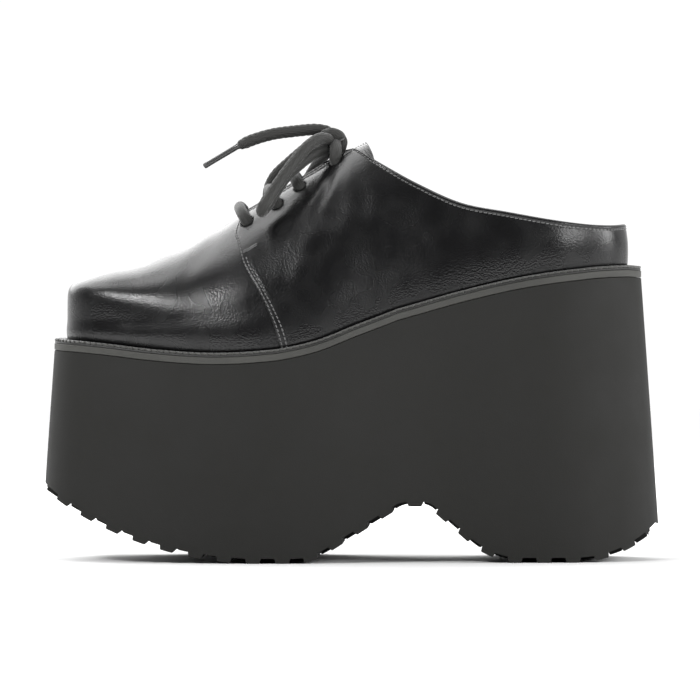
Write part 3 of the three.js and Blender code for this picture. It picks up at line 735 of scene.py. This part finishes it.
def build_quarters(leather, thread):
    outer, inner, rows = [], [], []
    for side in SIDES:
        grid, back, normals, below_top, behind_front = quarter_half(side)
        outer.append(grid)
        inner.append(back)
        top = line_at(grid, normals, below_top, TOP_STITCH, 1)
        keep = slice(len(FRONT_STEPS), None)
        rows.append((top[0][keep], top[1][keep], TOP_SEAM))
        for wanted, highest in ((EDGE_STITCH, np.inf), (SECOND_STITCH, TACK_HEIGHT)):
            line, ups = line_at(grid, normals, behind_front, wanted, 0)
            number = np.arange(len(line))
            shown = (line[:, 2] < highest) & (number > 2) & (number < len(line) - 4)
            rows.append((line[shown], ups[shown], FRONT_SEAM))
        bar, bar_up = tack_bar(grid, normals, behind_front)
        rows += [(bar + np.array((0, 0, offset)), bar_up, TACK_SEAM) for offset in TACK_ROWS]
    joined = [np.concatenate([near[:-1], (near[-1:] + far[-1:]) / 2, far[-2::-1]])
              for near, far in (outer, inner)]
    finish_piece(sheet("quarters", *joined), leather, "leather", "upper")
    stitches("upper_stitches", thread, "leather", rows)


# Tongue

TONGUE_GAP, TONGUE_EDGE_ROUND, TONGUE_FRONT_SHARE, TONGUE_CUT_LENGTH = 0.25, 0.9, 0.8, 14


def build_tongue(leather, rows=120, columns=90):
    """Soft tongue under the facings, its blunt slanted end standing up out of the collar."""
    front, tip = along_x(SEAM[-1, 0]) - TONGUE_UNDERLAP, along_x(TOPLINE[0, 0]) + TONGUE_PROUD
    half = TONGUE_WIDTH / 2
    x = front + (tip - front) * np.sin(np.linspace(0, math.pi / 2, rows))
    near_tip = np.clip((x - (tip - half / 3)) / (half / 3), 0, 1)
    grown = np.clip((x - front) / (tip - half - front), 0, 1)
    wide = half * (TONGUE_FRONT_SHARE + (1 - TONGUE_FRONT_SHARE) * grown) * np.cbrt(1 - near_tip ** 3)
    share = np.linspace(-1, 1, columns)
    targets = np.stack(np.broadcast_arrays(x[:, None], wide[:, None] * share[None]), -1)

    def drape(outward):
        stations, rises = np.linspace(3.2, 11.5, 200), np.linspace(0.25, 1, 160)
        grid = np.zeros((*targets.shape[:2], 3))
        for side in SIDES:
            surface = skin(side, stations[:, None], rises[None], outward)
            pick = targets[..., 1] <= 0 if side == LATERAL else targets[..., 1] > 0
            grid[pick] = heights_over(surface, targets[pick])
        below = grid[:, columns // 2, 2][:, None] - grid[..., 2]
        slanted = np.clip((x - (tip - TONGUE_CUT_LENGTH)) / TONGUE_CUT_LENGTH, 0, 1)
        grid[..., 0] += TONGUE_CUT * below * slanted[:, None]
        return grid

    outer = -WALL - TONGUE_GAP
    top, bottom = drape(outer), drape(outer - TONGUE_THICKNESS)
    edge = np.minimum(np.abs(1 - np.abs(share))[None] * np.maximum(wide, 0.5)[:, None], (tip - x)[:, None])
    dip = rounding(edge, TONGUE_EDGE_ROUND)
    top[..., 2] += dip
    bottom[..., 2] -= dip
    finish_piece(sheet("tongue_sheet", top, bottom), leather, "leather", "tongue")


def heights_over(surface, targets):
    """Heights of a surface grid over plan points, from the nearest points of the grid."""
    flat = surface.reshape(-1, 3)
    out = np.zeros((len(targets), 3))
    for n, target in enumerate(targets):
        d = (flat[:, 0] - target[0]) ** 2 + (flat[:, 1] - target[1]) ** 2
        nearest = np.argpartition(d, 6)[:6]
        weight = 1 / (d[nearest] + 0.05)
        out[n] = (*target, (flat[nearest, 2] * weight).sum() / weight.sum())
    return out


# Layers under the upper

def rim_grid(side, rim, rows):
    """Points round one side of the last's outline, for each (outward, height) of a rim."""
    at = np.linspace(0, LAST_ROW, rows)
    grid = []
    for outward, height in rim:
        if callable(outward):
            outward = outward(outline(side, at, 0.0)[:, 0])
        p = outline(side, at, np.full(rows, outward))
        grid.append(np.concatenate([p, height(p[:, 0])[:, None]], 1))
    return np.stack(grid, 1)


def plate(name, rim, rows=420, strips=8):
    """Layer on the last's outline; rim lists (outward, height) round its edge, top to bottom."""
    halves = [rim_grid(side, rim, rows) for side in SIDES]
    share = np.linspace(0, 1, strips + 1)[1:-1]

    def across(row, height):
        a, b = halves[LATERAL][:, row], halves[MEDIAL][:, row]
        p = a[:, None] + (b - a)[:, None] * share[None, :, None]
        p[..., 2] = height(p[..., 0])
        return p

    top, bottom = across(0, rim[0][1]), across(-1, rim[-1][1])
    ring = np.concatenate([halves[LATERAL][:, ::-1], top, halves[MEDIAL], bottom[:, ::-1]], 1)
    return merge_close(make_mesh(name, ring, grid_faces(rows, ring.shape[1], loop_columns=True)))


def rounded_rim(outward, low, high, radius, steps=4):
    """Rim of a layer with softened edges."""
    falls = [(radius * (1 - math.sin(a)), radius * (1 - math.cos(a)))
             for a in np.linspace(0, math.pi / 2, steps + 1)]
    upper = [(outward - back, lambda x, d=down: high(x) - d) for back, down in falls]
    lower = [(outward - back, lambda x, d=rise: low(x) + d) for rise, back in falls]
    return upper + lower


MIDSOLE_ROUND, INSOLE_ROUND, INSOLE_GAP = 0.45, 1.2, 0.2


def build_layers(midsole_look, insole_look):
    rim = rounded_rim(LEDGE, lambda x: platform_top(x) + CLEAR / 2, midsole_top, MIDSOLE_ROUND)
    finish_piece(plate("midsole_band", rim), midsole_look, "midsole_foam", "midsole")
    rim = rounded_rim(-WALL - INSOLE_GAP, feather, lambda x: feather(x) + INSOLE, INSOLE_ROUND)
    finish_piece(plate("insole_sock", rim), insole_look, "insole", "insole")


WELT_STITCH_IN, WELT_STITCH_SUNK = 1.0, 0.65
WELT_INNER = -0.6

# Outer side of the welt's section: distance in from its outer edge, height
WELT_EDGE = [
    (0.6, 0.0), (0.25, 0.2), (0.2, 0.55), (0.45, 0.9), (1.1, WELT - 0.75), (1.8, WELT - 0.35), (2.4, WELT),
]


def build_welt(look, thread, rows=900):
    """Strip on the midsole round the upper, with a soft outer edge and a rope-like seam along it."""
    edge = [(LEDGE - inward, high) for inward, high in WELT_EDGE]
    section = [(WELT_INNER, 0.0), *edge, (WELT_INNER, WELT), (LEDGE - WELT_STITCH_IN, WELT - WELT_STITCH_SUNK)]
    rim = [(outward, lambda x, h=high: midsole_top(x) + h) for outward, high in section]
    near, far = (rim_grid(side, rim, rows) for side in SIDES)
    loop = np.concatenate([near[:, :-1], far[-2:0:-1, :-1]])
    count, size = loop.shape[:2]
    faces = grid_faces(count, size, loop_rows=True, loop_columns=True)
    finish_piece(merge_close(make_mesh("welt_strip", loop, faces)), look, "welt", "welt")
    line = np.concatenate([near[:, -1], far[-2::-1, -1]])
    ups = np.tile((0.0, 0.0, 1.0), (len(line), 1))
    stitches("welt_stitches", thread, "welt", [(line, ups, WELT_SEAM)])


# Platform

TREAD_PITCH, HEEL_EDGE_END = 0.2, -math.pi / 16
BLOCK_UNDER, BLOCK_STEPS = 6.0, (0.25, 0.5, 0.75)
FOAM_CREASE = math.radians(30)


def ground_arc(x, radius, angle):
    """Arc that touches the ground at x."""
    return np.stack([x + radius * np.cos(angle), radius * (1 + np.sin(angle))], -1)


def tread_line():
    """Side view of the tread's outer line: rocker, forefoot flat, arch, heel flat, heel edge."""
    rocker, heel_edge = along_x(TREAD_ROCKER), along_x(TREAD_HEEL_EDGE)
    past_toe = TOE_X - 2 * LEDGE - FOREFOOT_HEIGHT * math.tan(DRAFT)
    roof = along_x(TREAD_ARCH)
    corners = [
        (rocker, 0, 0),
        (roof - ARCH_HEIGHT / math.tan(ARCH_FRONT_SLOPE), 0, FOREFOOT_END_ROUND),
        (roof, ARCH_HEIGHT, ARCH_ROUND),
        (roof + ARCH_ROOF, ARCH_HEIGHT, ARCH_ROUND),
        (roof + ARCH_ROOF + ARCH_HEIGHT / math.tan(ARCH_BACK_SLOPE), 0, HEEL_FRONT_ROUND),
        (heel_edge, 0, 0),
    ]
    sweep = math.asin((rocker - past_toe) / ROCKER_RADIUS)
    angle = np.linspace(-math.pi / 2 - sweep, -math.pi / 2, 120)
    parts = [ground_arc(rocker, ROCKER_RADIUS, angle)]
    for before, (x, z, reach), after in zip(corners, corners[1:], corners[2:]):
        here = np.array((x, z), float)
        start = here + reach * normalized(np.array(before[:2]) - here)
        end = here + reach * normalized(np.array(after[:2]) - here)
        t = np.linspace(0, 1, 24)[:, None]
        parts.append((1 - t) ** 2 * start + 2 * t * (1 - t) * here + t ** 2 * end)
    angle = np.linspace(-math.pi / 2, HEEL_EDGE_END, 80)
    parts.append(ground_arc(heel_edge, HEEL_EDGE_RADIUS, angle))
    return resample(np.concatenate(parts), TREAD_PITCH)


def tread_profile(line, shift):
    """Side outline of the block's underside with its lugs; shift None leaves them off."""
    run = arc_lengths(line)
    tangent = normalized(np.gradient(line, axis=0))
    normal = np.stack([-tangent[:, 1], tangent[:, 0]], -1)
    past_arch = (line[:, 0] >= along_x(TREAD_ARCH) + ARCH_ROOF / 2).argmax()
    half = LUG_WIDTH / 2
    marks = [
        (-half - LUG_BEVEL, 1), (-half - 0.15, 0.1), (-half + 0.3, 0), (-half / 2, 0), (0, 0), (half / 2, 0),
        (half - 0.3, 0), (half + 0.15, 0.1), (half + LUG_BEVEL, 1), (LUG_PITCH / 2 - 0.6, 1),
        (LUG_PITCH / 2 + 0.6, 1),
    ]
    centre = run[past_arch] % LUG_PITCH - LUG_PITCH + (shift or 0)
    stops, depths = [0.0], [1.0]
    while centre < run[-1] + LUG_PITCH:
        for offset, depth in marks:
            if LUG_BEVEL < centre + offset < run[-1] - LUG_BEVEL:
                stops.append(centre + offset)
                depths.append(1.0 if shift is None else depth)
        centre += LUG_PITCH
    stops.append(run[-1])
    depths.append(1.0)
    raised = np.array(depths)[:, None] * LUG_DEPTH
    points = row_value(stops, run, line) + row_value(stops, run, normal) * raised
    top = 2 * HEEL_HEIGHT
    return np.concatenate([points, [(points[-1, 0], top), (points[0, 0], top)]])


def side_prism(name, profile, y_low, y_high):
    """Solid with a side view's outline between two planes across the shoe."""
    count = len(profile)
    points = [np.stack([profile[:, 0], np.full(count, y), profile[:, 1]], -1) for y in (y_low, y_high)]
    n = np.arange(count)
    faces = np.stack([n, (n + 1) % count, (n + 1) % count + count, n + count], -1).tolist()
    faces += [n[::-1].tolist(), (n + count).tolist()]
    mesh = bpy.data.meshes.new(name)
    mesh.from_pydata((np.concatenate(points) * MM).tolist(), [], faces)
    return merge_close(add_object(name, mesh))


def boolean(piece, other, operation):
    modifier = piece.modifiers.new("cut", "BOOLEAN")
    modifier.operation, modifier.object, modifier.solver = operation, other, "EXACT"
    evaluated = piece.evaluated_get(bpy.context.evaluated_depsgraph_get())
    mesh = bpy.data.meshes.new_from_object(evaluated)
    piece.modifiers.clear()
    piece.data = mesh
    bpy.data.objects.remove(other)


def build_platform(look):
    """Block that widens downward, cut by the tread: lugs on both sides, a staggered row between."""
    rim = [(LEDGE - 0.5, platform_top), (LEDGE - 0.15, lambda x: platform_top(x) - 0.15),
           (LEDGE, lambda x: platform_top(x) - 0.5)]
    for share in (*BLOCK_STEPS, 1):
        rim.append((lambda x, s=share: LEDGE + s * (platform_top(x) + BLOCK_UNDER) * math.tan(DRAFT),
                    lambda x, s=share: platform_top(x) * (1 - s) - BLOCK_UNDER * s))
    block = plate("platform_block", rim, rows=520)
    line = tread_line()
    beside = TREAD_CENTRE_WIDTH / 2 + TREAD_GROOVE
    wide = 2 * BALL_WIDTH
    foot = side_prism("foot", tread_profile(line, None), -wide, wide)
    for low, high, shift in ((-wide + 1, -beside, 0), (beside, wide - 1, 0),
                             (-TREAD_CENTRE_WIDTH / 2, TREAD_CENTRE_WIDTH / 2, LUG_PITCH / 2)):
        boolean(foot, side_prism("strip", tread_profile(line, shift), low, high), "UNION")
    boolean(block, foot, "INTERSECT")
    mesh = block.data
    mesh.polygons.foreach_set("use_smooth", [True] * len(mesh.polygons))
    mesh.set_sharp_from_angle(angle=FOAM_CREASE)
    finish_piece(block, look, "platform_foam", "platform")


# Laces

BRAID_STRANDS, BRAID_TURN, BRAID_RELIEF = 14, 75.0, 0.55
END_TAPER = 4
CLOSING = ((0, 1e-4), (1, 0.75), (2, 0.95))


def frames_along(path):
    """Tangents and two normals that turn as little as possible along a path."""
    tangent = normalized(np.gradient(path, axis=0))
    normal = np.zeros_like(path)
    normal[0] = normalized(np.cross(tangent[0], (0, 0, 1.0) if abs(tangent[0][2]) < 0.9 else (0, 1.0, 0)))
    for n in range(1, len(path)):
        normal[n] = normalized(normal[n - 1] - tangent[n] * np.dot(normal[n - 1], tangent[n]))
    return tangent, normal, np.cross(tangent, normal)


def braid_height(run, angle):
    """Relief of a round braid, from 0 to 1: strands wound both ways, each over and then under."""
    around = angle / (2 * math.pi) * BRAID_STRANDS
    forward = around + run / BRAID_TURN * BRAID_STRANDS
    backward = around - run / BRAID_TURN * BRAID_STRANDS
    over = 0.5 + 0.5 * np.cos(math.pi * (np.round(forward) + backward))
    under = 0.5 - 0.5 * np.cos(math.pi * (np.round(backward) + forward))
    lift_a = np.sqrt(np.abs(np.cos(math.pi * forward))) * (0.35 + 0.65 * over)
    lift_b = np.sqrt(np.abs(np.cos(math.pi * backward))) * (0.35 + 0.65 * under)
    return np.maximum(lift_a, lift_b)


def lace_tube(name, points, step=0.36, around=48, ends=(1.0, 1.0)):
    """Braided tube along points; ends gives the share of the radius at each end."""
    path = resample(line_through(points, 30 * len(points)), step)
    tangent, n1, n2 = frames_along(path)
    run = np.arange(len(path)) * np.linalg.norm(path[1] - path[0])
    angle = full_turn(around)
    relief = braid_height(run[:, None], angle[None])
    radius = LACE / 2 - BRAID_RELIEF + BRAID_RELIEF * relief
    for share, distance in zip(ends, (run, run[::-1])):
        radius = radius * (share + (1 - share) * np.sqrt(np.clip(distance / END_TAPER, 0, 1)))[:, None]
    for n, share in CLOSING:
        radius[n] *= share
        radius[-1 - n] *= share
    place = path.copy()
    place[0] = place[1] = path[1] - tangent[1] * step
    place[-1] = place[-2] = path[-2] + tangent[-2] * step
    ring = place[:, None] + radius[..., None] * (
        np.cos(angle)[None, :, None] * n1[:, None] + np.sin(angle)[None, :, None] * n2[:, None])
    return merge_close(make_mesh(name, ring, grid_faces(len(path), around, loop_columns=True))), path


LACE_OUT = OVERLAY + LACE / 2 + 0.2
LACE_UNDER = -3.5
BAR_SHARES = (0.17, 0.36, 0.58, 0.8)
WRAP_TURNS, WRAP_HALF_LENGTH, WRAP_HALF_HEIGHT = (0.05, 1.25), 4.4, 4.2


def bar_route(along, rise):
    """Route of a lace from under one facing, over the throat and down through the other eyelet."""
    halves = []
    for side in SIDES:
        own = [(rise - 0.012, LACE_UNDER), (rise - 0.006, -0.6), (rise + 0.004, OVERLAY + 1.6)]
        own += [(rise + (1 - rise) * share, LACE_OUT) for share in BAR_SHARES]
        halves.append([across_instep(along, side, *spot) for spot in own])
    ridge = across_instep(along, LATERAL, 1.0, LACE_OUT)
    return [*halves[0], ridge, *halves[1][::-1]]


def top_strand(side):
    """Route of the lace that comes up through a top eyelet into the knot."""
    along, rise = EYELETS[-1]
    hole = across_instep(along, side, rise, OVERLAY)
    return [
        across_instep(along, side, rise - 0.01, LACE_UNDER),
        hole,
        hole * 0.75 + KNOT * 0.25 + np.array((0.3, -HAND[side] * 2.8, 0.6)),
        hole * 0.35 + KNOT * 0.65 + np.array((0.6, -HAND[side] * 3.4, 0.6)),
        KNOT + np.array((0.5, -HAND[side] * 1.5, 0.5)),
    ]


def knot_wrap():
    """Route of the band that wraps the middle of the bow."""
    turns = np.linspace(*WRAP_TURNS, 20)
    angle = 2 * math.pi * turns
    return KNOT + np.stack([-1.0 + WRAP_HALF_LENGTH * np.cos(angle), -3.6 + 5.2 * turns,
                            WRAP_HALF_HEIGHT * np.sin(angle)], -1)


def build_laces(look, aglet_look):
    for n, (along, rise) in enumerate(EYELETS[:3], 1):
        bar, _ = lace_tube(f"bar_{n}", bar_route(along, rise))
        finish_piece(bar, look, "lace", f"lace_bar_{n}")
    for name, route in (("knot_wrap", knot_wrap()), ("top_strand_near", top_strand(LATERAL)),
                        ("top_strand_far", top_strand(MEDIAL))):
        piece, _ = lace_tube(name, route)
        finish_piece(piece, look, "lace", "lace_knot")
    near, near_path = lace_tube("near_loop", NEAR_LOOP)
    far, far_path = lace_tube("far_loop", FAR_LOOP)
    end, end_path = lace_tube("free_end", FREE_END, ends=(1.0, 0.6))
    for piece, node in ((near, "lace_loop_near"), (far, "lace_loop_far"), (end, "lace_end")):
        finish_piece(piece, look, "lace", node)
    aglet = build_aglet(aglet_look)


def build_aglet(look, around=32):
    """Sleeve on the end of the lace: a thin rod with a crimped neck and a rounded tip."""
    start, tip = np.array(FREE_END[-1], float), np.array(AGLET_TIP, float)
    direction = normalized(tip - start)
    side = normalized(np.cross(direction, (0, 0, 1.0)))
    up = np.cross(side, direction)
    r = AGLET / 2
    profile = [
        (-1.2, 0.002), (-1.2, r * 0.9), (-0.6, r * 1.1), (0.4, r * 1.12), (0.8, r), (3, r), (9, r * 0.97),
        (15, r * 0.95), (AGLET_LENGTH - 0.9, r), (AGLET_LENGTH - 0.3, r * 0.92), (AGLET_LENGTH, r * 0.6),
        (AGLET_LENGTH + 0.15, 0.002),
    ]
    angle = full_turn(around)
    rings = [start + direction * s + radius * (np.cos(angle)[:, None] * side + np.sin(angle)[:, None] * up)
             for s, radius in profile]
    faces = grid_faces(len(rings), around, loop_columns=True)
    piece = merge_close(make_mesh("aglet", np.array(rings), faces), 0.004)
    return finish_piece(piece, look, "aglet", "lace_aglet")


# Stage

FLOOR_HALF = 3000
FLOOR_GLOW = (110, 500, 0.0, 0.45)
STUDIO_TOWARD, STUDIO_GLOW = (0.0, 0.86, 0.5), (-0.1, 0.8, 0.06, 1.05)

# Lights: name, place, size in metres, power
LIGHTS = [
    ("back", (-0.45, 0.95, 0.75), (1.3, 1.0), 10),
    ("overhead", (-0.55, 0.2, 1.15), (0.6, 0.5), 3.4),
    ("front", (-0.7, -0.84, 0.86), (0.35, 0.2), 10),
    ("heel", (0.85, -0.9, 0.6), (0.6, 0.3), 6),
    ("heel_end", (1.2, -0.15, 0.5), (0.5, 0.5), 7),
]
LIGHT_AIM = Vector((0, 0, 0.1))


def build_stage():
    """White floor that glows further from the shoe, so that it ends in white without losing the shadow."""
    corners = [(x * FLOOR_HALF, y * FLOOR_HALF, 0) for x, y in ((-1, -1), (1, -1), (1, 1), (-1, 1))]
    floor = make_mesh("floor", corners, [[0, 1, 2, 3]], smooth=False)
    look = material("floor", (0.9, 0.9, 0.9), 0.9, Emission_Color=(1, 1, 1, 1))
    nodes, links, shader, vector = nodes_of(look)
    far = add_node(nodes, "ShaderNodeVectorMath", operation="LENGTH")
    links.new(vector, far.inputs[0])
    links.new(ramp(nodes, links, far.outputs["Value"], *FLOOR_GLOW), shader.inputs["Emission Strength"])
    floor.data.materials.append(look)


def area_light(name, place, size, power):
    data = bpy.data.lights.new(name, "AREA")
    data.shape, data.size, data.size_y, data.energy = "RECTANGLE", *size, power
    light = add_object(name, data)
    light.location = place
    light.rotation_euler = (Vector(place) - LIGHT_AIM).to_track_quat("Z", "Y").to_euler()


def build_world():
    """White studio behind and above the shoe, dim on the camera's side."""
    world = bpy.data.worlds.new("studio")
    bpy.context.scene.world = world
    world.use_nodes = True
    nodes, links = world.node_tree.nodes, world.node_tree.links
    coordinate = add_node(nodes, "ShaderNodeTexCoord")
    toward = add_node(nodes, "ShaderNodeVectorMath", operation="DOT_PRODUCT")
    toward.inputs[1].default_value = STUDIO_TOWARD
    links.new(coordinate.outputs["Generated"], toward.inputs[0])
    strength = ramp(nodes, links, toward.outputs["Value"], *STUDIO_GLOW)
    background = nodes["Background"]
    background.inputs["Color"].default_value = (1, 1, 1, 1)
    links.new(strength, background.inputs["Strength"])


def build_lights():
    for light in LIGHTS:
        area_light(*light)
    bpy.context.scene.view_settings.view_transform = "Standard"


make_camera()
lace_look = thread_material("lace", (0.014, 0.014, 0.0125), 0.62, 0.25)
leather = leather_material("leather", (0.004, 0.004, 0.0043), (0.22, 0.32))
build_laces(lace_look, material("aglet", (0.05, 0.05, 0.05), 0.25))
build_vamp(leather)
build_quarters(leather, thread_material("thread", (0.11, 0.11, 0.11), 0.35, 0.2))
build_tongue(leather)
build_layers(foam_material("midsole_foam", (0.046, 0.046, 0.042), 0.6, 0.03),
             leather_material("insole", (0.012, 0.012, 0.012), (0.4, 0.55)))
build_welt(foam_material("welt", (0.022, 0.022, 0.021), 0.5, 0.03),
           thread_material("welt_thread", (0.05, 0.05, 0.046), 0.5, 0.25))
build_platform(foam_material("platform_foam", (0.0075, 0.0075, 0.0063), 0.75, 0.05))
build_stage()
build_world()
build_lights()
